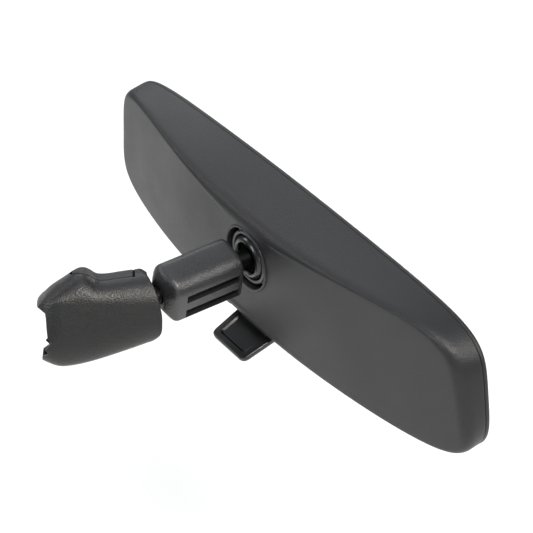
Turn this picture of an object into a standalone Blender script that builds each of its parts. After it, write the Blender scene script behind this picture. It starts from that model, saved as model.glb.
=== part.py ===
"""Interior rearview mirror: prismatic day/night head on a double-ball arm with a windshield mount.

Metres, +Z up, +Y towards the windshield, +X along the mirror. The shapes are laid out in the
head frame, whose origin is the centre of the front rim plane. The mount's shapes are laid out
in the mount frame: its origin is the mount ball, +Y runs to the windshield button and +Z is the
top of the mount's cover. The world origin is the seat that rests on the button.
"""

import math

import bmesh
import bpy
from mathutils import Matrix, Vector

MM = 0.001
GAP = 0.3 * MM

# Head shell
HALF_LENGTH = 120.0 * MM
TOP_HEIGHT = 31.3 * MM
BOTTOM_HEIGHT = 35.0 * MM
END_LEAN = 4.0 * MM
RIM_DEPTH = 2.0 * MM
BACK_HALF_LENGTH = 118.8 * MM
BACK_TOP = 24.8 * MM
BACK_BOTTOM = 25.4 * MM
BACK_LEAN = 5.7 * MM
HEAD_DEPTH = 26.8 * MM
WALL = 2.0 * MM
RIDGE_ROUNDING = 4.5 * MM
SOUND_POINTS = 64

# Ball joints
HEAD_BALL = Vector((0.0, 18.2 * MM, 5.1 * MM))
MOUNT_BALL = Vector((0.0, 75.0 * MM, 5.1 * MM))
BALL_R = 6.5 * MM
NECK_R = 3.6 * MM
SEAT_WALL = 0.6 * MM
TURN_STEPS = 24

# Arm
ARM_HALF_WIDTH = 9.0 * MM
ARM_HALF_HEIGHT = 9.6 * MM
ARM_FRONT = 32.2 * MM
ARM_END = 65.9 * MM
ARM_ROLL = math.radians(-13.0)

# Day/night tilt
HINGE = Vector((0.0, 18.6 * MM, 21.7 * MM))
LEVER_PIVOT = Vector((0.0, 12.5 * MM, -24.5 * MM))
TAB_SLOPE = math.radians(-19.3)
TAB_REACH = 25.6 * MM

# Windshield mount
MOUNT_TURN = (math.radians(4.2), math.radians(24.6), math.radians(-30.7))
COVER_HALF_WIDTH = 13.0 * MM
COVER_WALL = 1.7 * MM
COVER_DRAFT = 0.17
WAIST = 2.0 * MM
SEAT_POINT = Vector((0.0, 30.1 * MM, -10.6 * MM))
SEAT_TILT = math.radians(-7.0)

BLACK_GRAIN = ((0.055, 0.055, 0.056, 1.0), 0.55, 0.0)
BLACK_GLOSS = ((0.010, 0.011, 0.011, 1.0), 0.18, 0.0)
GREY_SATIN = ((0.12, 0.12, 0.125, 1.0), 0.42, 0.0)
NYLON = ((0.03, 0.03, 0.03, 1.0), 0.35, 0.0)
ZINC = ((0.30, 0.30, 0.31, 1.0), 0.40, 1.0)
STEEL = ((0.45, 0.45, 0.46, 1.0), 0.30, 1.0)
MIRROR = ((0.80, 0.82, 0.83, 1.0), 0.03, 1.0)
FOAM = ((0.04, 0.04, 0.04, 1.0), 0.9, 0.0)


# ---------------------------------------------------------------- scene and materials

def clear_scene():
    for obj in list(bpy.data.objects):
        bpy.data.objects.remove(obj, do_unlink=True)


def new_collection(name, hidden=False):
    group = bpy.data.collections.new(name)
    group.hide_render = hidden
    bpy.context.scene.collection.children.link(group)
    return group


clear_scene()
PARTS = new_collection("interior_rearview_mirror")
CUTTERS = new_collection("cutters", hidden=True)


def paint(obj, look):
    """Give the object a material of its own."""
    colour, roughness, metallic = look
    material = bpy.data.materials.new(obj.name)
    material.use_nodes = True
    shader = material.node_tree.nodes["Principled BSDF"]
    shader.inputs["Base Color"].default_value = colour
    shader.inputs["Roughness"].default_value = roughness
    shader.inputs["Metallic"].default_value = metallic
    material.diffuse_color = colour
    obj.data.materials.clear()
    obj.data.materials.append(material)


def new_empty(name, parent=None, location=(0, 0, 0), rotation=(0, 0, 0)):
    empty = bpy.data.objects.new(name, None)
    empty.empty_display_size = 5 * MM
    PARTS.objects.link(empty)
    empty.parent = parent
    empty.location = location
    empty.rotation_euler = rotation
    return empty


def add_object(name, mesh, parent, location=(0, 0, 0), rotation=(0, 0, 0), look=None):
    """A part when it has a look, and otherwise a cutter."""
    obj = bpy.data.objects.new(name, mesh)
    (PARTS if look else CUTTERS).objects.link(obj)
    obj.parent = parent
    obj.location = location
    obj.rotation_euler = rotation
    if look:
        paint(obj, look)
        mesh.shade_smooth()
        mesh.set_sharp_from_angle(angle=math.radians(35))
    else:
        obj.hide_render = True
        obj.display_type = "WIRE"
    return obj


# ---------------------------------------------------------------- shapes

def mesh_of(bm, name):
    mesh = bpy.data.meshes.new(name)
    bm.to_mesh(mesh)
    bm.free()
    return mesh


def box_mesh(size, centre=(0, 0, 0)):
    bm = bmesh.new()
    bmesh.ops.create_cube(bm, size=1.0)
    bmesh.ops.scale(bm, vec=size, verts=bm.verts)
    bmesh.ops.translate(bm, vec=centre, verts=bm.verts)
    return mesh_of(bm, "box")


def rod_mesh(radius, length, sides=20):
    """A cylinder along X, centred."""
    bm = bmesh.new()
    bmesh.ops.create_cone(
        bm, cap_ends=True, segments=sides, radius1=radius, radius2=radius, depth=length
    )
    bmesh.ops.rotate(bm, cent=(0, 0, 0), matrix=Matrix.Rotation(math.pi / 2, 3, "Y"), verts=bm.verts)
    return mesh_of(bm, "rod")


def turned(name, profile, parent, location=(0, 0, 0), rotation=None, look=None, steps=TURN_STEPS):
    """Turn a closed or axis-to-axis profile of (radius, height) points about the local Z axis.

    The default rotation lays the turning axis along the parent's +Y.
    """
    mesh = bpy.data.meshes.new(name)
    following = profile[1:] + profile[:1]
    area = sum(r0 * z1 - r1 * z0 for (r0, z0), (r1, z1) in zip(profile, following))
    if area > 0:
        profile = profile[::-1]
    for i in range(len(profile) - 1):
        if profile[i][0] == 0 and profile[i + 1][0] == 0:
            profile = profile[i + 1:] + profile[:i + 1]
            break
    points = [(radius, 0.0, height) for radius, height in profile]
    closed = min(radius for radius, _ in profile) > 0
    edges = [(i, i + 1) for i in range(len(points) - 1)]
    if closed:
        edges.append((len(points) - 1, 0))
    mesh.from_pydata(points, edges, [])
    rotation = rotation or (-math.pi / 2, 0, 0)
    obj = add_object(name, mesh, parent, location, rotation, look)
    screw = obj.modifiers.new("turn", "SCREW")
    screw.steps = steps
    screw.render_steps = steps
    screw.use_merge_vertices = True
    screw.merge_threshold = 1e-6
    return obj


def arc(radius, start, end, count, centre=0.0):
    """Points of a circle about (0, centre), angles from the +Z pole in degrees."""
    points = []
    for i in range(count + 1):
        angle = math.radians(start + (end - start) * i / count)
        points.append((max(radius * math.sin(angle), 0.0), centre + radius * math.cos(angle)))
    return points


def prism_mesh(outline, depth):
    """Fill a flat outline in XY and extrude it along Z, centred, as a welded mesh."""
    curve = bpy.data.curves.new("outline", "CURVE")
    curve.dimensions = "2D"
    curve.fill_mode = "BOTH"
    curve.extrude = depth / 2
    spline = curve.splines.new("POLY")
    spline.points.add(len(outline) - 1)
    for point, (x, y) in zip(spline.points, outline):
        point.co = (x, y, 0.0, 1.0)
    spline.use_cyclic_u = True
    obj = bpy.data.objects.new("outline", curve)
    bpy.context.scene.collection.objects.link(obj)
    graph = bpy.context.evaluated_depsgraph_get()
    mesh = bpy.data.meshes.new_from_object(obj.evaluated_get(graph))
    bpy.data.objects.remove(obj)
    bm = bmesh.new()
    bm.from_mesh(mesh)
    bmesh.ops.remove_doubles(bm, verts=bm.verts, dist=1e-6)
    bmesh.ops.recalc_face_normals(bm, faces=bm.faces)
    bpy.data.meshes.remove(mesh)
    return mesh_of(bm, "prism")


def side_prism_mesh(outline, width):
    """A prism whose outline lies in YZ and whose depth runs along X."""
    mesh = prism_mesh(outline, width)
    mesh.transform(Matrix(((0, 0, 1, 0), (1, 0, 0, 0), (0, 1, 0, 0), (0, 0, 0, 1))))
    return mesh


def loft_mesh(rings, close_start=True, close_end=True):
    """Skin a list of rings of equal length. A ring of one point closes to that point."""
    bm = bmesh.new()
    rows = [[bm.verts.new(point) for point in ring] for ring in rings]
    for row, following in zip(rows, rows[1:]):
        count = len(row)
        for i in range(count):
            j = (i + 1) % count
            if len(following) == 1:
                bm.faces.new((row[i], row[j], following[0]))
            else:
                bm.faces.new((row[i], row[j], following[j], following[i]))
    if close_start:
        bm.faces.new(rows[0])
    if close_end and len(rows[-1]) > 1:
        bm.faces.new(rows[-1])
    bmesh.ops.recalc_face_normals(bm, faces=bm.faces)
    return mesh_of(bm, "loft")


def boolean(obj, other, operation="DIFFERENCE"):
    modifier = obj.modifiers.new(operation.lower(), "BOOLEAN")
    modifier.operation = operation
    modifier.object = other
    modifier.solver = "EXACT"


def round_edges(obj, width, segments=2, angle=40):
    bevel = obj.modifiers.new("rounding", "BEVEL")
    bevel.width = width
    bevel.segments = segments
    bevel.limit_method = "ANGLE"
    bevel.angle_limit = math.radians(angle)


def settled(obj):
    """The object's mesh with its modifiers applied."""
    bpy.context.view_layer.update()
    graph = bpy.context.evaluated_depsgraph_get()
    return bpy.data.meshes.new_from_object(obj.evaluated_get(graph))


def smooth_through(points, x):
    """Monotone-safe cubic through a few design points, for side profiles."""
    for i in range(len(points) - 1):
        if x <= points[i + 1][0] or i == len(points) - 2:
            break
    before = points[max(i - 1, 0)]
    start = points[i]
    end = points[i + 1]
    after = points[min(i + 2, len(points) - 1)]
    span = end[0] - start[0]
    t = min(max((x - start[0]) / span, 0.0), 1.0)
    slope_in = (end[1] - before[1]) / (end[0] - before[0]) * span
    slope_out = (after[1] - start[1]) / (after[0] - start[0]) * span
    h1 = 2 * t ** 3 - 3 * t ** 2 + 1
    h2 = t ** 3 - 2 * t ** 2 + t
    h3 = -2 * t ** 3 + 3 * t ** 2
    h4 = t ** 3 - t ** 2
    return h1 * start[1] + h2 * slope_in + h3 * end[1] + h4 * slope_out


# ---------------------------------------------------------------- frames and joint axes

mount_turn = (
    Matrix.Rotation(MOUNT_TURN[2], 4, "Z")
    @ Matrix.Rotation(MOUNT_TURN[0], 4, "X")
    @ Matrix.Rotation(MOUNT_TURN[1], 4, "Y")
)
seat_in_head = MOUNT_BALL + mount_turn @ SEAT_POINT

HEAD = new_empty("head_frame", None, -seat_in_head)
MOUNT = new_empty("mount_frame", HEAD, MOUNT_BALL, mount_turn.to_euler("XYZ"))
SEAT = new_empty("seat_frame", MOUNT, SEAT_POINT, (SEAT_TILT, 0, 0))
MOUNT_PIVOT = new_empty("mount_ball_pivot", HEAD, MOUNT_BALL)
HEAD_PIVOT = new_empty("head_ball_pivot", HEAD, HEAD_BALL)
HINGE_AXIS = new_empty("tilt_hinge", HEAD, HINGE)
LEVER_AXIS = new_empty("lever_pivot", HEAD, LEVER_PIVOT, (TAB_SLOPE, 0, 0))


# ---------------------------------------------------------------- outlines of the head

def oval(t, half_length, top, bottom, top_power, bottom_power, lean):
    """Point of the rounded outline at angle t; the ends lean outwards towards the bottom."""
    c = math.cos(t)
    s = math.sin(t)
    power = 2 / (top_power if s >= 0 else bottom_power)
    x = half_length * math.copysign(abs(c) ** power, c)
    rise = math.copysign(abs(s) ** power, s)
    share = (x / half_length) ** 2
    height = top(share) if rise > 0 else bottom(share)
    return x * (1 - lean * rise / half_length), rise * height


def rim_point(t):
    return oval(
        t,
        HALF_LENGTH,
        lambda q: TOP_HEIGHT - 4.3 * MM * q + 5.9 * MM * q * q,
        lambda q: BOTTOM_HEIGHT + 0.9 * MM * q,
        4.8,
        3.65,
        END_LEAN,
    )


def ridge_point(t):
    return oval(
        t,
        BACK_HALF_LENGTH,
        lambda q: BACK_TOP + 7.8 * MM * q,
        lambda q: BACK_BOTTOM + 4.8 * MM * q,
        4.8,
        5.1,
        BACK_LEAN,
    )


def back_depth(x):
    """How far back the housing reaches at a place along its length."""
    share = (x / BACK_HALF_LENGTH) ** 2
    return HEAD_DEPTH - 19.6 * MM * share + 4.1 * MM * share * share


def even_angles(count):
    """Angles that space points along the rim by both its length and its turning."""
    fine = 1440
    angles = [2 * math.pi * i / fine for i in range(fine + 1)]
    points = [Vector(rim_point(t)) for t in angles]
    steps = [points[i + 1] - points[i] for i in range(fine)]
    length = sum(step.length for step in steps)
    measure = [0.0]
    for i, step in enumerate(steps):
        turn = abs(step.angle(steps[i - 1], 0.0)) if step.length > 0 else 0.0
        measure.append(measure[-1] + step.length / length + turn / (2 * math.pi))
    chosen = []
    index = 0
    for k in range(count):
        target = measure[-1] * k / count
        while measure[index + 1] < target:
            index += 1
        share = (target - measure[index]) / (measure[index + 1] - measure[index])
        chosen.append(angles[index] + share * (angles[index + 1] - angles[index]))
    return chosen


ANGLES = even_angles(SOUND_POINTS)


def inset_ring(inset, y):
    """The rim outline moved inwards, as a ring at depth y (a number or a function of x and z)."""
    outline = [Vector(rim_point(t)) for t in ANGLES]
    ring = []
    for i, point in enumerate(outline):
        along = outline[(i + 1) % len(outline)] - outline[i - 1]
        inward = Vector((-along.y, along.x)).normalized()
        x, z = point + inward * inset
        depth = y(x, z) if callable(y) else y
        ring.append((x, depth, z))
    return ring


# ---------------------------------------------------------------- mirror head

def housing_rings():
    """Rings of the housing's outer skin from its open rim to the middle of its back."""
    start = RIM_DEPTH + GAP
    lead = 4 * MM
    rings = [[] for _ in range(10)]
    for t in ANGLES:
        rim = Vector((rim_point(t)[0], start, rim_point(t)[1]))
        x, z = ridge_point(t)
        ridge = Vector((x, back_depth(x), z))
        inner = Vector((x * 0.9, back_depth(x * 0.9), z * 0.9))
        side = ridge + (rim - ridge).normalized() * RIDGE_ROUNDING
        face = ridge + (inner - ridge).normalized() * RIDGE_ROUNDING
        rings[0].append(rim + (rim - side) * (lead / (side.y - rim.y)))
        rings[1].append(rim.lerp(side, 0.5))
        for k in range(4):
            s = k / 3
            rings[2 + k].append(side * (1 - s) ** 2 + ridge * 2 * s * (1 - s) + face * s * s)
        for k, scale in enumerate((0.84, 0.65, 0.42, 0.18)):
            rings[6 + k].append(Vector((x * scale, back_depth(x * scale), z * scale)))
    rings.append([Vector((0, HEAD_DEPTH, 0))])
    return rings


def rear_housing():
    mesh = loft_mesh(housing_rings(), close_start=False)
    skin = add_object("housing_skin", mesh, HEAD)
    shell = skin.modifiers.new("wall", "SOLIDIFY")
    shell.thickness = WALL
    shell.offset = -1.0
    shell.use_even_offset = True
    housing = add_object("rear_housing", settled(skin), HEAD, look=BLACK_GRAIN)
    bpy.data.objects.remove(skin)
    front = box_mesh((300 * MM, 20 * MM, 90 * MM), (0, RIM_DEPTH + GAP - 10 * MM, 0))
    boolean(housing, add_object("rim_trim", front, HEAD))
    collar = turned(
        "collar",
        [(11.5 * MM, 22.4 * MM), (14.2 * MM, 22.4 * MM), (14.2 * MM, 26.0 * MM), (11.5 * MM, 26.0 * MM)],
        HEAD,
        (0, 0, HEAD_BALL.z),
        steps=32,
    )
    boolean(housing, collar, "UNION")
    for name, x, z, front in screw_places():
        boss = turned(name + "_boss", boss_profile(x, front), HEAD, (x, 0, z), steps=12)
        boolean(housing, boss, "UNION")
    bore = add_object("socket_bore", rod_mesh(12.9 * MM, 14 * MM, 32), HEAD)
    bore.rotation_euler = (0, 0, math.pi / 2)
    bore.location = (0, 25 * MM, HEAD_BALL.z)
    boolean(housing, bore)
    slot = add_object(
        "lever_slot", box_mesh((28 * MM, 19.6 * MM, 18 * MM), (0, 20.2 * MM, -32.3 * MM)), HEAD
    )
    boolean(housing, slot)


def screw_places():
    """Name, x, z and front depth of the screw bosses inside the housing."""
    places = []
    for side, name in ((-1, "left"), (1, "right")):
        places.append(("pivot_screw_" + name, side * 34 * MM, 20.6 * MM, 15.6 * MM))
        places.append(("lever_screw_" + name, side * 22.5 * MM, -18.6 * MM, 17.3 * MM))
    return places


def boss_profile(x, front):
    """A post with a blind hole, from its front end into the back wall."""
    back = back_depth(x) - WALL / 2
    hole = 1.3 * MM
    return [
        (hole, front),
        (3.0 * MM, front),
        (3.0 * MM, back),
        (0.0, back),
        (0.0, back - 2.5 * MM),
        (hole, back - 2.5 * MM),
    ]


def front_bezel():
    section = [
        (0.0, 2.0), (0.0, 0.9), (0.3, 0.3), (0.9, 0.0), (6.2, 0.0), (7.0, 0.5), (7.0, 1.3),
        (5.0, 1.3), (5.0, 5.0), (3.8, 5.0), (3.8, 2.0),
    ]
    rings = [inset_ring(inset * MM, y * MM) for inset, y in section]
    rings.append(rings[0])
    mesh = loft_mesh(rings, close_start=False, close_end=False)
    bm = bmesh.new()
    bm.from_mesh(mesh)
    bmesh.ops.remove_doubles(bm, verts=bm.verts, dist=1e-6)
    bmesh.ops.recalc_face_normals(bm, faces=bm.faces)
    add_object("front_bezel", mesh_of(bm, "bezel"), HEAD, look=BLACK_GRAIN)


def wedge(z, offset):
    """Depth of a plane behind the glass, which is thicker at its top edge."""
    return (4.2 + offset) * MM + 2.6 / 61 * (z + 30 * MM)


def mirror_glass():
    front = 1.6 * MM
    rings = [
        inset_ring(6.1 * MM, front),
        inset_ring(5.3 * MM, front + 0.6 * MM),
        inset_ring(5.3 * MM, lambda x, z: wedge(z, -0.6)),
        inset_ring(6.1 * MM, lambda x, z: wedge(z, 0.0)),
    ]
    add_object("mirror_glass", loft_mesh(rings), HEAD, look=MIRROR)
    rings = [
        inset_ring(12 * MM, lambda x, z: wedge(z, 0.3)),
        inset_ring(12 * MM, lambda x, z: wedge(z, 1.1)),
    ]
    add_object("glass_pad", loft_mesh(rings), HEAD, look=FOAM)


def screws():
    for name, x, z, front in screw_places():
        plate = 2.0 * MM
        top = front - GAP - plate - GAP
        profile = [
            (0.0, top - 1.5 * MM), (2.3 * MM, top - 1.5 * MM), (2.3 * MM, top), (1.0 * MM, top),
            (1.0 * MM, front + 3.5 * MM), (0.0, front + 3.5 * MM),
        ]
        turned(name, profile, HEAD, (x, 0, z), look=STEEL, steps=14)


def drilled(obj, parent, places, radius):
    """Cut through holes along Y at (x, z) places."""
    for i, (x, z) in enumerate(places):
        drill = add_object(f"{obj.name}_drill_{i}", rod_mesh(radius, 40 * MM, 14), parent)
        drill.rotation_euler = (0, 0, math.pi / 2)
        drill.location = (x, 15 * MM, z)
        boolean(obj, drill)


def cross_drilled(obj, centre, radius, length):
    drill = add_object(obj.name + "_cross_drill", rod_mesh(radius, length, 16), HEAD, centre)
    boolean(obj, drill)


def pivot_bracket():
    bar = box_mesh((78 * MM, 2.0 * MM, 6.6 * MM), (0, 14.3 * MM, 21.3 * MM))
    bracket = add_object("pivot_bracket", bar, HEAD, look=ZINC)
    for side in (-1, 1):
        ear = box_mesh((2.5 * MM, 7.4 * MM, 5.4 * MM), (side * 23.3 * MM, 17.1 * MM, 21.3 * MM))
        boolean(bracket, add_object("bracket_ear", ear, HEAD), "UNION")
    cross_drilled(bracket, HINGE, 1.8 * MM, 60 * MM)
    drilled(bracket, HEAD, [(s * 34 * MM, 20.6 * MM) for s in (-1, 1)], 1.4 * MM)
    add_object("hinge_pin", rod_mesh(1.5 * MM, 49 * MM, 18), HEAD, HINGE, look=STEEL)


def lever_bracket():
    bar = box_mesh((52 * MM, 2.0 * MM, 8.4 * MM), (0, 16.0 * MM, -17.4 * MM))
    bracket = add_object("lever_bracket", bar, HEAD, look=ZINC)
    for side in (-1, 1):
        ear = side_prism_mesh(
            [(9.6 * MM, -22 * MM), (9.6 * MM, -27 * MM), (15.2 * MM, -27 * MM), (17.0 * MM, -24 * MM),
             (17.0 * MM, -16 * MM), (14.6 * MM, -16 * MM)],
            2.4 * MM,
        )
        boolean(bracket, add_object("lever_ear", ear, HEAD, (side * 16.2 * MM, 0, 0)), "UNION")
    notch = box_mesh((9 * MM, 6 * MM, 10 * MM), (0, 16.0 * MM, -20.6 * MM))
    boolean(bracket, add_object("cam_notch", notch, HEAD))
    cross_drilled(bracket, LEVER_PIVOT, 1.4 * MM, 50 * MM)
    drilled(bracket, HEAD, [(s * 22.5 * MM, -18.6 * MM) for s in (-1, 1)], 1.4 * MM)
    add_object("lever_pin", rod_mesh(1.1 * MM, 35.4 * MM, 16), HEAD, LEVER_PIVOT, look=STEEL)


def detent_spring():
    """A bowed leaf between the pivot bracket and the glass pad's side of the head."""
    half = 20 * MM
    bow = [(half * (i / 6 - 1), 11.9 * MM - 1.8 * MM * math.sin(math.pi * i / 12)) for i in range(13)]
    leaf = [(x, y + 0.5 * MM) for x, y in reversed(bow)]
    mesh = prism_mesh(bow + leaf, 4.5 * MM)
    add_object("detent_spring", mesh, HEAD, (0, 0, 22.0 * MM), look=STEEL)


# ---------------------------------------------------------------- socket plate

def socket_plate():
    centre = HEAD_BALL
    cavity = BALL_R + 2 * SEAT_WALL + 3 * GAP
    outer = 12.0 * MM
    boss = [(outer, 3.2 * MM), (outer, -3.0 * MM), (7.0 * MM, -10.0 * MM), (0.0, -10.0 * MM)]
    inside = arc(cavity, 180, 92, 8)
    inside[0] = (0.0, -cavity)
    step = [(9.75 * MM, inside[-1][1]), (9.75 * MM, 3.2 * MM)]
    plate = turned("socket_plate", boss + inside + step, HEAD, centre, look=NYLON, steps=28)
    slab = box_mesh((42 * MM, 2.0 * MM, 33.2 * MM), (0, 0.4 * MM, 0.3 * MM))
    plate_slab = add_object("plate_slab", slab, HEAD_PIVOT)
    window = add_object("slab_window", rod_mesh(10.8 * MM, 8 * MM, 28), HEAD_PIVOT)
    window.rotation_euler = (0, 0, math.pi / 2)
    boolean(plate_slab, window)
    boolean(plate, plate_slab, "UNION")
    tongue = box_mesh((7 * MM, 2.0 * MM, 15 * MM), (0, 18.6 * MM, -16.5 * MM))
    boolean(plate, add_object("cam_tongue", tongue, HEAD), "UNION")
    for side in (-1, 1):
        knuckle = rod_mesh(2.9 * MM, 12.4 * MM, 18)
        boolean(plate, add_object("knuckle", knuckle, HINGE_AXIS, (side * 15.3 * MM, 0, 0)), "UNION")
    cross_drilled(plate, HINGE, 1.8 * MM, 60 * MM)


def ring_parts():
    cavity = BALL_R + 2 * SEAT_WALL + 3 * GAP
    cap_inside = arc(cavity, 87, 48, 5)
    cap = cap_inside + [(6.5 * MM, 6.6 * MM), (6.8 * MM, 7.4 * MM), (7.3 * MM, 7.6 * MM)]
    cap += [(8.1 * MM, 7.3 * MM), (8.9 * MM, 6.4 * MM), (9.45 * MM, 4.6 * MM), (9.45 * MM, cap_inside[0][1])]
    turned("socket_cap", cap, HEAD, HEAD_BALL, look=BLACK_GLOSS, steps=32)
    ring = [(9.75 * MM, 4.3 * MM), (11.3 * MM, 4.3 * MM), (11.3 * MM, 6.1 * MM), (11.0 * MM, 6.4 * MM)]
    ring += [(10.1 * MM, 6.4 * MM), (9.75 * MM, 6.1 * MM)]
    turned("retainer_ring", ring, HEAD, HEAD_BALL, look=GREY_SATIN, steps=32)
    washer = [(10.1 * MM, 3.5 * MM), (11.8 * MM, 3.5 * MM), (11.8 * MM, 4.0 * MM), (10.1 * MM, 4.0 * MM)]
    turned("socket_spring", washer, HEAD, HEAD_BALL, look=STEEL, steps=24)


def seat_liner(name, parent, location, inner, opening, rotation=None):
    """A nylon ball seat: a spherical bowl, open round the neck, with a hole at its pole."""
    outer = inner + SEAT_WALL
    hole = 14.0
    profile = arc(inner, 180 - hole, opening, 8) + arc(outer, opening, 180 - hole, 8)
    turned(name, profile, parent, location, rotation, look=NYLON)


# ---------------------------------------------------------------- lever with its tab

def toggle_lever():
    lever = add_object("toggle_lever", rod_mesh(2.6 * MM, 29.2 * MM, 20), LEVER_AXIS, look=BLACK_GLOSS)
    root = 12.9 * MM
    tip = 11.4 * MM
    corner = 2.6 * MM
    outline = [(-root, 0.0), (root, 0.0), (root, 8 * MM)]
    for k in range(5):
        a = math.pi / 2 * k / 4
        outline.append((tip - corner + corner * math.cos(a), TAB_REACH - corner + corner * math.sin(a)))
    outline += [(-x, y) for x, y in reversed(outline[2:])]
    tab = add_object("tab_plate", prism_mesh(outline, 2.3 * MM), LEVER_AXIS, (0, 0, -1.45 * MM))
    round_edges(tab, 0.5 * MM)
    boolean(lever, tab, "UNION")
    recess = add_object(
        "tab_recess", box_mesh((17.4 * MM, 10.6 * MM, 4 * MM), (0, 17.4 * MM, 1.1 * MM)), LEVER_AXIS
    )
    boolean(lever, recess)
    drill = add_object("lever_drill", rod_mesh(1.4 * MM, 40 * MM, 16), LEVER_AXIS)
    boolean(lever, drill)
    cam = side_prism_mesh(
        [(-1.6 * MM, 1.5 * MM), (1.9 * MM, 1.2 * MM), (2.6 * MM, 6.6 * MM), (2.0 * MM, 7.6 * MM),
         (0.8 * MM, 7.4 * MM)],
        6 * MM,
    )
    boolean(lever, add_object("lever_cam", cam, LEVER_AXIS), "UNION")
    drill_again = add_object("cam_drill", rod_mesh(1.4 * MM, 40 * MM, 16), LEVER_AXIS)
    boolean(lever, drill_again)


# ---------------------------------------------------------------- arm

def arm_core():
    start = HEAD_BALL.y
    end = MOUNT_BALL.y
    meet = math.degrees(math.asin(NECK_R / BALL_R))
    profile = arc(BALL_R, 180, meet, 9, start) + arc(BALL_R, 180 - meet, 0, 9, end)
    profile[0] = (0.0, profile[0][1])
    profile[-1] = (0.0, profile[-1][1])
    turned("arm_core", profile, HEAD, (0, 0, HEAD_BALL.z), look=ZINC)


def rounded_section(half_width, half_height, top_corner, bottom_corner, y):
    """A ring in XZ at depth y, with larger corners at the top."""
    ring = []
    corners = (
        (1, 1, top_corner), (-1, 1, top_corner), (-1, -1, bottom_corner), (1, -1, bottom_corner),
    )
    for quarter, (sx, sz, corner) in enumerate(corners):
        radius = min(corner, 0.8 * half_width)
        for k in range(5):
            a = math.pi / 2 * (quarter + k / 4)
            x = sx * (half_width - radius) + radius * math.cos(a)
            z = sz * (half_height - radius) + radius * math.sin(a)
            ring.append((x, y, z))
    return ring


def arm_cover():
    w = ARM_HALF_WIDTH
    h = ARM_HALF_HEIGHT
    top = 4.8 * MM
    low = 1.4 * MM
    stations = (
        (ARM_FRONT, 0.8 * MM), (ARM_FRONT + 0.8 * MM, 0.0), (61.9 * MM, 0.0), (62.8 * MM, 0.45 * MM),
        (63.8 * MM, 1.35 * MM), (64.9 * MM, 2.7 * MM), (ARM_END, 4.2 * MM),
    )
    rings = [rounded_section(w - cut, h - cut, top, low, y) for y, cut in stations]
    turn = (0, ARM_ROLL, 0)
    place = (0, 0, HEAD_BALL.z)
    cover = add_object("arm_cover", loft_mesh(rings), HEAD, place, turn, look=BLACK_GRAIN)
    start = 33.9 * MM
    length = 24.4 * MM
    middle = start + length / 2
    cuts = (
        (0.5 * MM, -8.8 * MM, 3.3 * MM), (3.6 * MM, -1.1 * MM, 3.1 * MM), (3.6 * MM, -8.6 * MM, -5.1 * MM),
    )
    for depth, low_z, high_z in cuts:
        size = (2 * depth, length, high_z - low_z)
        slot = box_mesh(size, (-w, middle, (low_z + high_z) / 2))
        boolean(cover, add_object("arm_slot", slot, HEAD, place, turn))
    bore_r = NECK_R + GAP
    bore = [(0.0, 20 * MM), (bore_r, 20 * MM), (bore_r, 80 * MM), (0.0, 80 * MM)]
    boolean(cover, turned("arm_bore", bore, HEAD, place))
    for name, y in (("arm_screw_front", 41 * MM), ("arm_screw_rear", 54 * MM)):
        upright = (0, ARM_ROLL + math.pi / 2, 0)
        spot = Vector((0, y, 0)) + Matrix.Rotation(ARM_ROLL, 3, "Y") @ Vector((0, 0, -8.2 * MM))
        spot.z += HEAD_BALL.z
        boolean(cover, add_object(name + "_hole", rod_mesh(1.8 * MM, 6 * MM, 14), HEAD, spot, upright))
        spot += Matrix.Rotation(ARM_ROLL, 3, "Y") @ Vector((0, 0, 0.8 * MM))
        add_object(name, rod_mesh(1.5 * MM, 3.4 * MM, 14), HEAD, spot, upright, look=STEEL)


# ---------------------------------------------------------------- windshield mount

TOP_LINE = [
    (-12.0, 13.9), (-0.8, 13.0), (6.9, 11.9), (12.4, 11.05), (15.9, 11.25), (18.2, 12.7), (20.9, 13.6),
    (23.5, 12.9), (28.2, 9.65), (33.3, 6.0), (36.2, 2.9), (37.8, 1.2), (38.8, -0.4),
]
BOTTOM_LINE = [
    (-12.0, -12.0), (-6.7, -13.4), (3.9, -17.2), (15.8, -21.2), (25.2, -23.4), (30.7, -23.4), (38.8, -20.0),
]
COVER_STATIONS = (-11, -6, 0, 6, 11, 14, 16.5, 19, 21, 23.5, 26, 29, 32, 34.5, 36.5, 37.8, 38.5)


def cover_section(u, inset):
    """Ring of the cover at distance u along the mount, moved inwards by the inset."""
    top = smooth_through(TOP_LINE, u) * MM
    slope = (smooth_through(TOP_LINE, u + 0.5) - smooth_through(TOP_LINE, u - 0.5))
    top -= inset * math.sqrt(1 + slope * slope)
    bottom = smooth_through(BOTTOM_LINE, u) * MM + inset
    hood = (max(u - 28.0, 0.0) / 10.6) ** 2
    waist = min(WAIST, top - 0.8 * MM)
    count = 32
    ring = []
    for k in range(count):
        a = 2 * math.pi * k / count
        s = math.sin(a)
        c = math.cos(a)
        power = 2 / (2.3 if s >= 0 else 4.2)
        height = top - waist if s >= 0 else waist - bottom
        taper = 1 - hood * (0.22 + 0.35 * (max(s, -0.3) + 0.3) / 1.3)
        rise = math.copysign(abs(s) ** power, s)
        half = (COVER_HALF_WIDTH - inset) * taper * (1 - COVER_DRAFT * max(-rise, 0.0))
        x = half * math.copysign(abs(c) ** power, c)
        ring.append((x, u * MM, waist + height * rise))
    return ring


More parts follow.
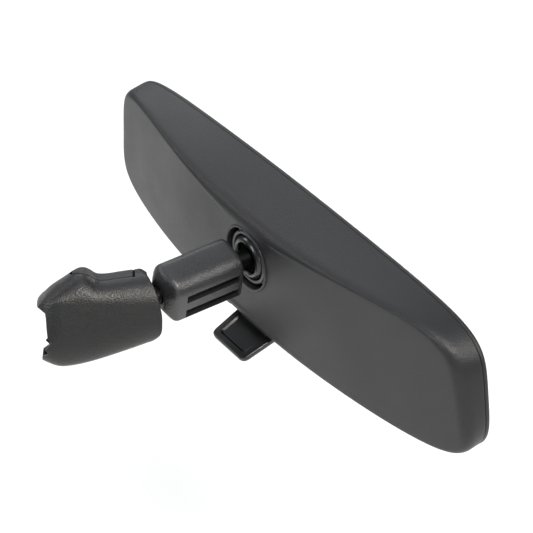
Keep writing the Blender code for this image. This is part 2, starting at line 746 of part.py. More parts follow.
def cover_shell_mesh():
    """The whole cover before it is split: an outer loft with an inner loft cut out of it."""
    outer = loft_mesh([cover_section(u, 0.0) for u in COVER_STATIONS])
    shell = add_object("cover_solid", outer, MOUNT)
    inside_stations = (-14,) + COVER_STATIONS[1:-4] + (35.0, 36.4)
    inner = loft_mesh([cover_section(u, COVER_WALL) for u in inside_stations])
    boolean(shell, add_object("cover_inside", inner, MOUNT))
    mouth = [
        (-20, -30), (-5.6, -30), (-5.9, -12.9), (-7.1, -12.0), (-8.2, -10.8), (-8.85, -9.4), (-9.1, -7.8),
        (-9.1, -3), (-8.0, 1.8), (-6.7, 6.0), (-5.0, 9.5), (-2.9, 11.7), (-0.9, 12.7), (-0.9, 20), (-20, 20),
    ]
    mouth_cut = side_prism_mesh([(u * MM, t * MM) for u, t in mouth], 40 * MM)
    boolean(shell, add_object("mouth_cut", mouth_cut, MOUNT))
    lower_end = [
        (38.0, 0.2), (50, 0.2), (50, -30), (36.6, -30), (36.2, -19.2), (33.6, -17.9), (35.1, -16.4),
        (33.4, -14.6), (33.6, -12.6), (34.5, -7.0), (34.7, -1.9),
    ]
    end_cut = side_prism_mesh([(u * MM, t * MM) for u, t in lower_end], 40 * MM)
    boolean(shell, add_object("end_cut", end_cut, MOUNT))
    mesh = settled(shell)
    return mesh


def strip_outline(margin):
    """Plan of the top strip: straight sides and a rounded end under the hood's crest."""
    half = 6.6 * MM + margin
    end = 20.0 * MM
    reach = 5.6 * MM + margin
    outline = [(half, -14 * MM), (half, end)]
    outline += [
        (half * math.cos(math.pi * k / 10), end + reach * math.sin(math.pi * k / 10)) for k in range(1, 10)
    ]
    outline += [(-half, end), (-half, -14 * MM)]
    return outline


def mount_cover():
    shell = cover_shell_mesh()
    high = 20 * MM
    strip_keep = prism_mesh(strip_outline(-0.25 * MM), high)
    strip_slot = prism_mesh(strip_outline(0.1 * MM), high)
    keep = add_object("strip_keep", strip_keep, MOUNT, (0, 0, 15.5 * MM))
    slot = add_object("strip_slot", strip_slot, MOUNT, (0, 0, 15.5 * MM))
    strip = add_object("cover_top_strip", shell.copy(), MOUNT, look=GREY_SATIN)
    boolean(strip, keep, "INTERSECT")
    for name, side in (("cover_half_left", -1), ("cover_half_right", 1)):
        half = add_object(name, shell.copy(), MOUNT, look=BLACK_GRAIN)
        block = box_mesh((40 * MM, 90 * MM, 80 * MM), (-side * (20 * MM - 0.15 * MM), 10 * MM, 0))
        boolean(half, add_object(name + "_trim", block, MOUNT))
        boolean(half, slot)
        if side > 0:
            lean = [
                (-20, -30), (-4.2, -30), (-4.2, -2), (-3.4, 3), (-2.2, 7), (-0.9, 10), (-0.9, 20),
                (-20, 20),
            ]
            relief = side_prism_mesh([(u * MM, t * MM) for u, t in lean], 30 * MM)
            boolean(half, add_object("mouth_relief", relief, MOUNT, (17 * MM, 0, 0)))


def mount_bracket():
    cavity = BALL_R + 2 * SEAT_WALL + 3 * GAP
    outer = 9.9 * MM
    spring_r = 5.2 * MM
    floor = 11.8 * MM
    shoulder = math.degrees(math.asin(spring_r / cavity))
    profile = [(outer, -1.0 * MM), (cavity, -1.0 * MM)]
    profile += arc(cavity, 90, shoulder, 6)
    profile += [(spring_r, floor), (0.0, floor), (0.0, 16 * MM), (7.8 * MM, 16 * MM)]
    profile += [(8.2 * MM, 11.5 * MM), (outer, 4.0 * MM)]
    bracket = turned("mount_bracket", profile, MOUNT, look=ZINC)
    side = [
        (12, 5.6), (15, 5.6), (23, 5.6), (29.5, 1.2), (34.3, -3.8), (32.9, -16.4), (28, -16.4), (14, -11.5),
        (12, -8.5),
    ]
    body = side_prism_mesh([(u * MM, t * MM) for u, t in side], 16.2 * MM)
    block = add_object("bracket_block", body, MOUNT)
    boolean(bracket, block, "UNION")
    channel = box_mesh((14.4 * MM, 8 * MM, 19 * MM), (0, 4 * MM, -6.0 * MM))
    boolean(bracket, add_object("button_channel", channel, SEAT))
    pocket = box_mesh((13.2 * MM, 9.4 * MM, 4.4 * MM), (0, 3.3 * MM, 5.5 * MM))
    boolean(bracket, add_object("clip_pocket", pocket, SEAT))
    screw_hole = rod_mesh(2.2 * MM, 12 * MM, 16)
    upright = (0, math.pi / 2, 0)
    boolean(bracket, add_object("set_screw_hole", screw_hole, MOUNT, (0, 25 * MM, -14 * MM), upright))
    add_object("set_screw", rod_mesh(1.9 * MM, 6.6 * MM, 16), MOUNT, (0, 25 * MM, -12.2 * MM), upright,
               look=STEEL)


def mount_small_parts():
    cavity = BALL_R + 2 * SEAT_WALL + 3 * GAP
    inside = arc(cavity, 99, 117, 3)
    cap = inside + [(10.3 * MM, inside[-1][1]), (10.3 * MM, inside[0][1])]
    turned("mount_cap", cap, MOUNT, look=BLACK_GLOSS)
    clip = prism_mesh(
        [(-5.6 * MM, -1.0 * MM), (-5.6 * MM, 3.4 * MM), (-4.8 * MM, 3.4 * MM), (-4.8 * MM, -0.2 * MM),
         (4.8 * MM, -0.2 * MM), (4.8 * MM, 3.4 * MM), (5.6 * MM, 3.4 * MM), (5.6 * MM, -1.0 * MM)],
        2.0 * MM,
    )
    add_object("button_clip", clip, SEAT, (0, 0, 5.6 * MM), look=STEEL)
    curve = bpy.data.curves.new("pressure_coil", "CURVE")
    curve.dimensions = "3D"
    curve.bevel_depth = 0.45 * MM
    curve.bevel_resolution = 2
    curve.use_fill_caps = True
    spline = curve.splines.new("POLY")
    turns = 2.5
    per_turn = 12
    coil_r = 4.2 * MM
    count = int(turns * per_turn)
    spline.points.add(count)
    for k in range(count + 1):
        a = 2 * math.pi * k / per_turn
        rise = 8.0 * MM + 3.0 * MM * k / count
        spline.points[k].co = (coil_r * math.cos(a), rise, coil_r * math.sin(a), 1)
    coil = bpy.data.objects.new("mount_spring", curve)
    PARTS.objects.link(coil)
    coil.parent = MOUNT
    paint(coil, STEEL)


def seats():
    inner = BALL_R + GAP
    outer = inner + SEAT_WALL + GAP
    seat_liner("head_seat_inner", HEAD_PIVOT, (0, 0, 0), inner, 50)
    seat_liner("head_seat_outer", HEAD_PIVOT, (0, 0, 0), outer, 50)
    towards_arm = (math.pi / 2, 0, 0)
    seat_liner("mount_seat_inner", MOUNT_PIVOT, (0, 0, 0), inner, 40, towards_arm)
    seat_liner("mount_seat_outer", MOUNT_PIVOT, (0, 0, 0), outer, 46, towards_arm)


def hang_on_joints():
    """Parent the pieces laid out in the head frame to the empty on their joint, where they are."""
    bpy.context.view_layer.update()
    groups = {
        HINGE_AXIS: (
            "rear_housing", "front_bezel", "mirror_glass", "glass_pad", "pivot_bracket", "hinge_pin",
            "pivot_screw_left", "pivot_screw_right", "lever_bracket", "lever_pin", "lever_screw_left",
            "lever_screw_right", "detent_spring",
        ),
        MOUNT_PIVOT: ("arm_core", "arm_cover", "arm_screw_front", "arm_screw_rear"),
        HEAD_PIVOT: ("socket_plate", "socket_cap", "retainer_ring", "socket_spring"),
    }
    for pivot, names in groups.items():
        for name in names:
            piece = bpy.data.objects[name]
            place = piece.parent.matrix_world
            piece.parent = pivot
            piece.matrix_parent_inverse = pivot.matrix_world.inverted() @ place


def build():
    rear_housing()
    front_bezel()
    mirror_glass()
    screws()
    pivot_bracket()
    lever_bracket()
    detent_spring()
    socket_plate()
    ring_parts()
    toggle_lever()
    arm_core()
    arm_cover()
    mount_cover()
    mount_bracket()
    mount_small_parts()
    seats()
    hang_on_joints()


build()
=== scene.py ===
"""Looks for the interior rearview mirror: finely modelled shells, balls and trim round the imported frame."""

import math

import bmesh
import bpy
from mathutils import Matrix, Vector


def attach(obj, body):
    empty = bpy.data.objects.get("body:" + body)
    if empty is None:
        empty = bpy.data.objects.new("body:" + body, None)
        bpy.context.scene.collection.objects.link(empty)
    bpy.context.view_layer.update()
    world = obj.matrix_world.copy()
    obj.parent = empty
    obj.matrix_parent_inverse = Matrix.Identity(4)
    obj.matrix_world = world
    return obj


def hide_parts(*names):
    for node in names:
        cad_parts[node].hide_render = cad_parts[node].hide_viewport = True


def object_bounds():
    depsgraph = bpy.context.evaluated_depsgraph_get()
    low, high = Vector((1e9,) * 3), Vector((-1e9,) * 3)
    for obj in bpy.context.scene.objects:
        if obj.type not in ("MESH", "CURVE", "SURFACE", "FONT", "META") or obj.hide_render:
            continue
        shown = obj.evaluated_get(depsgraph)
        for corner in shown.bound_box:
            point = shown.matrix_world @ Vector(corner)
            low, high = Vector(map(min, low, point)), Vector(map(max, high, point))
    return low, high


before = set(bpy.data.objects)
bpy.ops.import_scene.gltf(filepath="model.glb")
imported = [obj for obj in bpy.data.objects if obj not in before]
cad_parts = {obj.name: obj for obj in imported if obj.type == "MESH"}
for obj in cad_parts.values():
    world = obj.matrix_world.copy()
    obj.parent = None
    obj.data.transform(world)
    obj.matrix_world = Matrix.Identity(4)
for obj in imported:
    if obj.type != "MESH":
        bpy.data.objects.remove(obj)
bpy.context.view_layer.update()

MM = 0.001

# Head shell, in the head frame: X along the mirror, +Y towards the windshield, +Z up
HALF_LENGTH = 120.0
TOP_HEIGHT = 31.3
BOTTOM_HEIGHT = 35.0
END_LEAN = 4.0
RIM_DEPTH = 2.0
HOUSING_START = RIM_DEPTH + 0.3
BACK_HALF_LENGTH = 118.8
BACK_TOP = 24.8
BACK_BOTTOM = 25.4
BACK_LEAN = 5.7
HEAD_DEPTH = 26.8
BOW_FALL = 19.6
BOW_EASE = 4.1
WALL = 2.0
RIDGE_ROUNDING = 4.5
DISH_DEPTH = 1.6
DISH_RADIUS = 24.0
RIM_POINTS = 224

# Hole for the ball socket, and the lip round it
SOCKET_RADIUS = 12.9
LIP_INNER = 11.6
LIP_OUTER = 14.15
LIP_BOTTOM = 22.3
LIP_SHOULDER = 25.4
LIP_TOP = 25.95

# Mirror glass, thicker towards its top, as a prism is
GLASS_FRONT = 1.6
GLASS_BACK = 4.2
PRISM_BOTTOM = -30.0
PRISM_SLOPE = 2.6 / 61

# Ball joints
HEAD_BALL = Vector((0.0, 18.2, 5.1))
MOUNT_BALL = Vector((0.0, 75.0, 5.1))
BALL_R = 6.5
NECK_R = 3.6
CAVITY_R = 8.6

# Arm
ARM_HALF_WIDTH = 9.0
ARM_HALF_HEIGHT = 9.6
ARM_FRONT = 32.2
ARM_END = 65.9
ARM_ROLL = math.radians(-13.0)
SCREW_PLACES = (41, 54)
SCREW_HOLE_R = 1.8

# Day/night lever
LEVER_PIVOT = Vector((0.0, 12.5, -24.5))
TAB_SLOPE = math.radians(-19.3)
TAB_REACH = 25.6
BARREL_RADIUS = 2.6
BARREL_HALF_LENGTH = 14.6
LEVER_PIN_BORE = 1.4

# Windshield mount, in the mount frame: +Y towards the windshield button, +Z the cover's top
MOUNT_TURN = (math.radians(4.2), math.radians(24.6), math.radians(-30.7))
COVER_HALF_WIDTH = 13.0
COVER_WALL = 1.7
COVER_DRAFT = 0.17
WAIST = 2.0
SEAT_POINT = Vector((0.0, 30.1, -10.6))

mount_turn = (
    Matrix.Rotation(MOUNT_TURN[2], 4, "Z")
    @ Matrix.Rotation(MOUNT_TURN[0], 4, "X")
    @ Matrix.Rotation(MOUNT_TURN[1], 4, "Y")
)
seat_in_head = MOUNT_BALL + mount_turn @ SEAT_POINT

HEAD = Matrix.Scale(MM, 4) @ Matrix.Translation(-seat_in_head)
HEAD_JOINT = HEAD @ Matrix.Translation(HEAD_BALL)
ARM_AXIS = HEAD @ Matrix.Translation((0, 0, HEAD_BALL.z))
ARM = ARM_AXIS @ Matrix.Rotation(ARM_ROLL, 4, "Y")
MOUNT = HEAD @ Matrix.Translation(MOUNT_BALL) @ mount_turn
LEVER = HEAD @ Matrix.Translation(LEVER_PIVOT) @ Matrix.Rotation(TAB_SLOPE, 4, "X")


# ---------------------------------------------------------------- mesh helpers (millimetres)

WELD_DISTANCE = 0.002
ON_AXIS = 1e-9
BEVELLED_TURN = math.radians(35)


def mesh_of(bm, name):
    mesh = bpy.data.meshes.new(name)
    bm.to_mesh(mesh)
    bm.free()
    return mesh


def new_object(name, data):
    obj = bpy.data.objects.new(name, data)
    bpy.context.scene.collection.objects.link(obj)
    return obj


def settle(obj):
    """Apply the object's modifiers to its mesh."""
    bpy.context.view_layer.update()
    graph = bpy.context.evaluated_depsgraph_get()
    mesh = bpy.data.meshes.new_from_object(obj.evaluated_get(graph))
    obj.modifiers.clear()
    obj.data = mesh


def combine(obj, cutters, operation="DIFFERENCE"):
    """Cut the meshes from the object, or join them to it, and apply the result."""
    helpers = []
    for cutter in cutters:
        helper = new_object("helper", cutter)
        helpers.append(helper)
        modifier = obj.modifiers.new("combine", "BOOLEAN")
        modifier.operation = operation
        modifier.object = helper
        modifier.solver = "EXACT"
    settle(obj)
    for helper in helpers:
        bpy.data.objects.remove(helper)


def bevel_edges(obj, width, segments):
    """Round every edge whose faces turn by more than the bevelled turn."""
    bevel = obj.modifiers.new("bevel", "BEVEL")
    bevel.width = width
    bevel.segments = segments
    bevel.limit_method = "ANGLE"
    bevel.angle_limit = BEVELLED_TURN
    settle(obj)


def weld(mesh):
    """Merge points that nearly coincide, and turn all faces outwards."""
    bm = bmesh.new()
    bm.from_mesh(mesh)
    bmesh.ops.remove_doubles(bm, verts=bm.verts, dist=WELD_DISTANCE)
    bmesh.ops.dissolve_degenerate(bm, edges=bm.edges, dist=WELD_DISTANCE)
    bmesh.ops.recalc_face_normals(bm, faces=bm.faces)
    bm.to_mesh(mesh)
    bm.free()


def box_mesh(low, high):
    bm = bmesh.new()
    bmesh.ops.create_cube(bm, size=1.0)
    size = Vector(high) - Vector(low)
    bmesh.ops.scale(bm, vec=size, verts=bm.verts)
    bmesh.ops.translate(bm, vec=(Vector(high) + Vector(low)) / 2, verts=bm.verts)
    return mesh_of(bm, "box")


def rod_mesh(radius, start, end, sides):
    """A cylinder along +Y from start to end."""
    return turned_mesh([(0.0, start), (radius, start), (radius, end), (0.0, end)], sides)


def across(mesh):
    """Turn a mesh that lies along Y to lie along X."""
    mesh.transform(Matrix.Rotation(math.pi / 2, 4, "Z"))
    return mesh


def turned_mesh(profile, steps, closed=False):
    """Turn (radius, distance) points about +Y. A closed profile joins its last point to its first."""
    following = profile[1:] + profile[:1]
    area = sum(r0 * y1 - r1 * y0 for (r0, y0), (r1, y1) in zip(profile, following))
    if area > 0:
        profile = profile[::-1]
    bm = bmesh.new()
    rows = []
    for radius, y in profile:
        if radius < ON_AXIS:
            rows.append([bm.verts.new((0, y, 0))])
            continue
        ring = []
        for k in range(steps):
            a = 2 * math.pi * k / steps
            ring.append(bm.verts.new((radius * math.cos(a), y, radius * math.sin(a))))
        rows.append(ring)
    pairs = list(zip(rows, rows[1:]))
    if closed:
        pairs.append((rows[-1], rows[0]))
    for first, second in pairs:
        if len(first) == 1 and len(second) == 1:
            continue
        for k in range(steps):
            j = (k + 1) % steps
            if len(first) == 1:
                bm.faces.new((first[0], second[j], second[k]))
            elif len(second) == 1:
                bm.faces.new((first[k], first[j], second[0]))
            else:
                bm.faces.new((first[k], first[j], second[j], second[k]))
    bmesh.ops.recalc_face_normals(bm, faces=bm.faces)
    return mesh_of(bm, "turned")


def arc(radius, start, end, count, centre=0.0):
    """(radius, distance) points of a circle on the axis; angles in degrees from the +Y pole."""
    points = []
    for k in range(count + 1):
        a = math.radians(start + (end - start) * k / count)
        points.append((max(radius * math.sin(a), 0.0), centre + radius * math.cos(a)))
    return points


def loft_mesh(rings, close_start=True, cyclic=False):
    """Skin over rings of points. The last ring may be one point, and a cyclic loft ends where it starts."""
    bm = bmesh.new()
    rows = [[bm.verts.new(point) for point in ring] for ring in rings]
    pairs = list(zip(rows, rows[1:]))
    if cyclic:
        pairs.append((rows[-1], rows[0]))
    for row, following in pairs:
        count = len(row)
        for i in range(count):
            j = (i + 1) % count
            if len(following) == 1:
                bm.faces.new((row[i], row[j], following[0]))
            else:
                bm.faces.new((row[i], row[j], following[j], following[i]))
    if close_start and not cyclic:
        bm.faces.new(rows[0])
    if not cyclic and len(rows[-1]) > 1:
        bm.faces.new(rows[-1])
    bmesh.ops.recalc_face_normals(bm, faces=bm.faces)
    return mesh_of(bm, "loft")


def prism_mesh(outline, low, high, plane="XY"):
    """Extrude an outline. XY outlines rise along Z; YZ outlines run along X."""
    bm = bmesh.new()
    rows = []
    for depth in (low, high):
        if plane == "XY":
            rows.append([bm.verts.new((x, y, depth)) for x, y in outline])
        else:
            rows.append([bm.verts.new((depth, y, z)) for y, z in outline])
    count = len(outline)
    for i in range(count):
        j = (i + 1) % count
        bm.faces.new((rows[0][i], rows[0][j], rows[1][j], rows[1][i]))
    bm.faces.new(rows[0])
    bm.faces.new(rows[1])
    bmesh.ops.recalc_face_normals(bm, faces=bm.faces)
    return mesh_of(bm, "prism")


def rounding(start, corner, end, s):
    """Point at share s of the curve that leaves start and reaches end, and bends at the corner."""
    return start * (1 - s) ** 2 + corner * 2 * s * (1 - s) + end * s * s


def rounded_outline(outline, radius, steps=6):
    """Round the corners of a polygon, each by at most 45% of its shorter side."""
    points = [Vector(point) for point in outline]
    result = []
    for i, corner in enumerate(points):
        before = points[i - 1] - corner
        after = points[(i + 1) % len(points)] - corner
        reach = min(radius, 0.45 * before.length, 0.45 * after.length)
        start = corner + before.normalized() * reach
        end = corner + after.normalized() * reach
        for k in range(steps + 1):
            point = rounding(start, corner, end, k / steps)
            result.append((point.x, point.y))
    return result


def smooth_through(points, x):
    """Cubic curve through a few design points, for side profiles."""
    for i in range(len(points) - 1):
        if x <= points[i + 1][0] or i == len(points) - 2:
            break
    before = points[max(i - 1, 0)]
    start = points[i]
    end = points[i + 1]
    after = points[min(i + 2, len(points) - 1)]
    span = end[0] - start[0]
    t = min(max((x - start[0]) / span, 0.0), 1.0)
    slope_in = (end[1] - before[1]) / (end[0] - before[0]) * span
    slope_out = (after[1] - start[1]) / (after[0] - start[0]) * span
    h1 = 2 * t ** 3 - 3 * t ** 2 + 1
    h2 = t ** 3 - 2 * t ** 2 + t
    h3 = -2 * t ** 3 + 3 * t ** 2
    h4 = t ** 3 - t ** 2
    return h1 * start[1] + h2 * slope_in + h3 * end[1] + h4 * slope_out


def place(obj, where, material, body, nodes, sharp=32):
    """Put a finished piece in the world and say what it is. Edges over the sharp angle stay crisp."""
    obj.data.transform(where)
    obj.data.materials.clear()
    obj.data.materials.append(material)
    obj.data.shade_smooth()
    obj.data.set_sharp_from_angle(angle=math.radians(sharp))
    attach(obj, body)
    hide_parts(*nodes)


# ---------------------------------------------------------------- materials

# Places of the colour sockets on Blender's Mix node
MIX_FIRST = 6
MIX_SECOND = 7
MIX_RESULT = 2

NOISE_ROUGHNESS = 0.55
FLAT_POINTINESS = 0.5


class Nodes:
    """A material's node tree, with short ways to add and link."""

    def __init__(self, name):
        self.material = bpy.data.materials.new(name)
        self.material.use_nodes = True
        self.tree = self.material.node_tree
        self.shader = self.tree.nodes["Principled BSDF"]
        self.place = self.add("ShaderNodeTexCoord").outputs["Object"]

    def add(self, kind, **settings):
        node = self.tree.nodes.new(kind)
        for key, value in settings.items():
            setattr(node, key, value)
        return node

    def link(self, source, target):
        self.tree.links.new(source, target)

    def noise(self, scale, detail):
        node = self.add("ShaderNodeTexNoise")
        node.inputs["Scale"].default_value = scale
        node.inputs["Detail"].default_value = detail
        node.inputs["Roughness"].default_value = NOISE_ROUGHNESS
        self.link(self.place, node.inputs["Vector"])
        return node.outputs["Fac"]

    def cells(self, scale):
        node = self.add("ShaderNodeTexVoronoi")
        node.inputs["Scale"].default_value = scale
        self.link(self.place, node.inputs["Vector"])
        return node.outputs["Distance"]

    def math(self, operation, a, b):
        node = self.add("ShaderNodeMath", operation=operation)
        for socket, value in zip(node.inputs, (a, b)):
            if isinstance(value, (int, float)):
                socket.default_value = value
            else:
                self.link(value, socket)
        return node.outputs[0]

    def span(self, value, low, high, start=0.0, end=1.0):
        """Stretch the value's range from start to end over low to high."""
        node = self.add("ShaderNodeMapRange")
        self.link(value, node.inputs["Value"])
        node.inputs["From Min"].default_value = start
        node.inputs["From Max"].default_value = end
        node.inputs["To Min"].default_value = low
        node.inputs["To Max"].default_value = high
        return node.outputs["Result"]

    def mix(self, amount, first, second):
        node = self.add("ShaderNodeMix", data_type="RGBA")
        self.link(amount, node.inputs["Factor"])
        for socket, value in ((node.inputs[MIX_FIRST], first), (node.inputs[MIX_SECOND], second)):
            if isinstance(value, tuple):
                socket.default_value = value
            else:
                self.link(value, socket)
        return node.outputs[MIX_RESULT]

    def edges(self, sharpness):
        """0 on flat faces, rising to 1 along convex edges."""
        pointiness = self.add("ShaderNodeNewGeometry").outputs["Pointiness"]
        start = FLAT_POINTINESS + sharpness * 0.2
        return self.span(pointiness, 0.0, 1.0, start, FLAT_POINTINESS + sharpness)

    def bump(self, height, strength, distance):
        node = self.add("ShaderNodeBump")
        node.inputs["Strength"].default_value = strength
        node.inputs["Distance"].default_value = distance
        self.link(height, node.inputs["Height"])
        return node.outputs["Normal"]

    def finish(self, **fixed):
        """Set the shader's values that are the same all over the surface."""
        for name, value in fixed.items():
            self.shader.inputs[name.replace("_", " ")].default_value = value
        return self.material


def scaled(colour, factor):
    """The colour, lighter or darker by the factor."""
    return tuple(min(c * factor, 1.0) for c in colour[:3]) + (1.0,)


def grained_plastic(name, dark, light, roughness, grain=2400.0, depth=0.0001, gloss=0.5):
    """Moulded black plastic: a fine leather-like stipple, an uneven tone, and a painted highlight that
    lightens its edges.
    """
    fine_height = 0.55
    broad_share = 0.55
    speck_share = 0.45
    painted_edge_highlight = 0.35
    n = Nodes(name)
    cells = n.cells(grain)
    fine = n.noise(scale=grain * 2.6, detail=2.0)
    height = n.math("ADD", cells, n.math("MULTIPLY", fine, fine_height))
    broad = n.noise(scale=34.0, detail=4.0)
    speck = n.span(cells, 0.0, 1.0, start=0.15, end=0.75)
    tone = n.math("ADD", n.math("MULTIPLY", broad, broad_share), n.math("MULTIPLY", speck, speck_share))
    colour = n.mix(n.span(tone, 0.0, 1.0, start=0.25, end=0.8), dark, light)
    # Convex edges painted lighter: a painted highlight along every edge of the plastic
    colour = n.mix(n.math("MULTIPLY", n.edges(sharpness=0.10), painted_edge_highlight), colour, scaled(light, 1.9))
    n.link(colour, n.shader.inputs["Base Color"])
    uneven = n.span(broad, -0.04, 0.05, start=0.3, end=0.7)
    grainy = n.span(speck, roughness - 0.05, roughness + 0.06)
    n.link(n.math("ADD", uneven, grainy), n.shader.inputs["Roughness"])
    n.link(n.bump(height, strength=0.75, distance=depth), n.shader.inputs["Normal"])
    return n.finish(Specular_IOR_Level=gloss)


def gloss_plastic(name, colour, roughness):
    """Polished black plastic with faint handling marks."""
    n = Nodes(name)
    cloud = n.noise(scale=90.0, detail=5.0)
    fine = n.noise(scale=900.0, detail=3.0)
    marks = n.mix(n.span(cloud, 0.0, 1.0, start=0.35, end=0.7), colour, scaled(colour, 1.8))
    n.link(marks, n.shader.inputs["Base Color"])
    smear = n.span(cloud, roughness - 0.03, roughness + 0.07, start=0.3, end=0.7)
    n.link(n.math("ADD", smear, n.math("MULTIPLY", fine, 0.05)), n.shader.inputs["Roughness"])
    n.link(n.bump(fine, strength=0.10, distance=0.00004), n.shader.inputs["Normal"])
    return n.finish(Specular_IOR_Level=0.5, Coat_Weight=0.25, Coat_Roughness=0.12)


def metal(name, colour, roughness, streak=(1.0, 1.0, 1.0)):
    """Bare metal: brushed when streaked, cast when not."""
    n = Nodes(name)
    mapping = n.add("ShaderNodeMapping")
    mapping.inputs["Scale"].default_value = streak
    n.link(n.place, mapping.inputs["Vector"])
    n.place = mapping.outputs["Vector"]
    grain = n.noise(scale=1300.0, detail=4.0)
    patch = n.noise(scale=120.0, detail=3.0)
    dull = n.mix(n.span(patch, 0.0, 1.0, start=0.3, end=0.7), scaled(colour, 0.72), colour)
    n.link(dull, n.shader.inputs["Base Color"])
    n.link(n.span(grain, roughness - 0.08, roughness + 0.12), n.shader.inputs["Roughness"])
    n.link(n.bump(grain, strength=0.25, distance=0.00004), n.shader.inputs["Normal"])
    return n.finish(Metallic=1.0)


def mirror_coating():
    """Silvered glass with a faint haze."""
    n = Nodes("mirror_glass")
    haze = n.noise(scale=25.0, detail=4.0)
    n.link(n.span(haze, 0.012, 0.035), n.shader.inputs["Roughness"])
    n.link(n.mix(haze, (0.76, 0.79, 0.80, 1), (0.82, 0.84, 0.85, 1)), n.shader.inputs["Base Color"])
    return n.finish(Metallic=1.0, Coat_Weight=0.6, Coat_Roughness=0.02)


def foam():
    """Open-pored black foam."""
    n = Nodes("foam")
    pores = n.cells(scale=900.0)
    n.link(n.mix(pores, (0.02, 0.02, 0.02, 1), (0.06, 0.06, 0.06, 1)), n.shader.inputs["Base Color"])
    n.link(n.bump(pores, strength=0.8, distance=0.0004), n.shader.inputs["Normal"])
    n.link(n.span(pores, 0.85, 0.98), n.shader.inputs["Roughness"])
    return n.finish()


HOUSING = grained_plastic(
    "housing_grain",
    dark=(0.0085, 0.0087, 0.0103, 1),
    light=(0.0145, 0.0148, 0.0172, 1),
    roughness=0.38,
    gloss=0.43,
)
BEZEL = grained_plastic(
    "bezel_grain",
    dark=(0.009, 0.009, 0.0104, 1),
    light=(0.015, 0.015, 0.0172, 1),
    roughness=0.38,
    gloss=0.43,
)
ARM_SHELL = grained_plastic(
    "arm_grain",
    dark=(0.0125, 0.0129, 0.0146, 1),
    light=(0.020, 0.0206, 0.0230, 1),
    roughness=0.34,
    grain=1650.0,
    depth=0.00014,
    gloss=0.7,
)
COVER_SHELL = grained_plastic(
    "cover_grain",
    dark=(0.005, 0.0051, 0.0054, 1),
    light=(0.0075, 0.0077, 0.0084, 1),
    roughness=0.36,
    grain=1650.0,
    depth=0.00014,
    gloss=0.55,
)
STRIP = grained_plastic(
    "strip_grain",
    dark=(0.014, 0.014, 0.016, 1),
    light=(0.021, 0.021, 0.024, 1),
    roughness=0.50,
    grain=1900.0,
)
RING = grained_plastic(
    "ring_satin",
    dark=(0.040, 0.040, 0.042, 1),
    light=(0.060, 0.060, 0.063, 1),
    roughness=0.34,
    grain=2200.0,
    depth=0.00004,
)
NYLON = grained_plastic(
    "nylon",
    dark=(0.003, 0.003, 0.0033, 1),
    light=(0.005, 0.005, 0.0053, 1),
    roughness=0.75,
    gloss=0.15,
)
TAB = gloss_plastic("tab_gloss", (0.002, 0.0023, 0.0026, 1), roughness=0.30)
CAP = gloss_plastic("cap_gloss", (0.004, 0.0045, 0.005, 1), roughness=0.25)
ZINC = metal("cast_zinc", (0.34, 0.34, 0.35, 1), roughness=0.42)
STEEL = metal("brushed_steel", (0.52, 0.52, 0.53, 1), roughness=0.30, streak=(1.0, 6.0, 1.0))
BALL = metal("ball_steel", (0.02, 0.02, 0.021, 1), roughness=0.42)
GLASS = mirror_coating()
FOAM = foam()


# ---------------------------------------------------------------- outlines of the head

def oval(t, half_length, top, bottom, top_power, bottom_power, lean):
    """Point of a squared-off oval. Its heights vary with the squared share of its length; its ends lean."""
    c = math.cos(t)
    s = math.sin(t)
    power = 2 / (top_power if s >= 0 else bottom_power)
    x = half_length * math.copysign(abs(c) ** power, c)
    rise = math.copysign(abs(s) ** power, s)
    share = (x / half_length) ** 2
    height = top(share) if rise > 0 else bottom(share)
    return x * (1 - lean * rise / half_length), rise * height


def rim_point(t):
    return oval(
        t,
        half_length=HALF_LENGTH,
        top=lambda q: TOP_HEIGHT - 4.3 * q + 5.9 * q * q,
        bottom=lambda q: BOTTOM_HEIGHT + 0.9 * q,
        top_power=4.8,
        bottom_power=3.65,
        lean=END_LEAN,
    )


def ridge_point(t):
    return oval(
        t,
        half_length=BACK_HALF_LENGTH,
        top=lambda q: BACK_TOP + 7.8 * q,
        bottom=lambda q: BACK_BOTTOM + 4.8 * q,
        top_power=4.8,
        bottom_power=5.1,
        lean=BACK_LEAN,
    )


def bow(x):
    """Depth of the ridge, greatest at the middle of the mirror."""
    share = (x / BACK_HALF_LENGTH) ** 2
    return HEAD_DEPTH - BOW_FALL * share + BOW_EASE * share * share


def back_depth(x, z):
    """Depth of the back face: bowed along the mirror, with a shallow dish round the socket."""
    spread = (x * x + (z - HEAD_BALL.z) ** 2) / DISH_RADIUS ** 2
    return bow(x) - DISH_DEPTH * math.exp(-spread)


def even_angles(count):
    """Angles that space points along the rim by both its length and its turning."""
    fine = 2880
    angles = [2 * math.pi * i / fine for i in range(fine + 1)]
    points = [Vector(rim_point(t)) for t in angles]
    steps = [points[i + 1] - points[i] for i in range(fine)]
    length = sum(step.length for step in steps)
    measure = [0.0]
    for i, step in enumerate(steps):
        turn = abs(step.angle(steps[i - 1], 0.0)) if step.length > 0 else 0.0
        measure.append(measure[-1] + step.length / length + turn / (2 * math.pi))
    chosen = []
    index = 0
    for k in range(count):
        target = measure[-1] * k / count
        while measure[index + 1] < target:
            index += 1
        share = (target - measure[index]) / (measure[index + 1] - measure[index])
        chosen.append(angles[index] + share * (angles[index + 1] - angles[index]))
    return chosen


ANGLES = even_angles(RIM_POINTS)


def inset_ring(inset, y):
    """Ring inside the rim by the inset, at depth y, which may be a function of the place."""
    outline = [Vector(rim_point(t)) for t in ANGLES]
    ring = []
    for i, point in enumerate(outline):
        along = outline[(i + 1) % len(outline)] - outline[i - 1]
        inward = Vector((-along.y, along.x)).normalized()
        x, z = point + inward * inset
        ring.append((x, y(x, z) if callable(y) else y, z))
    return ring


# ---------------------------------------------------------------- mirror head

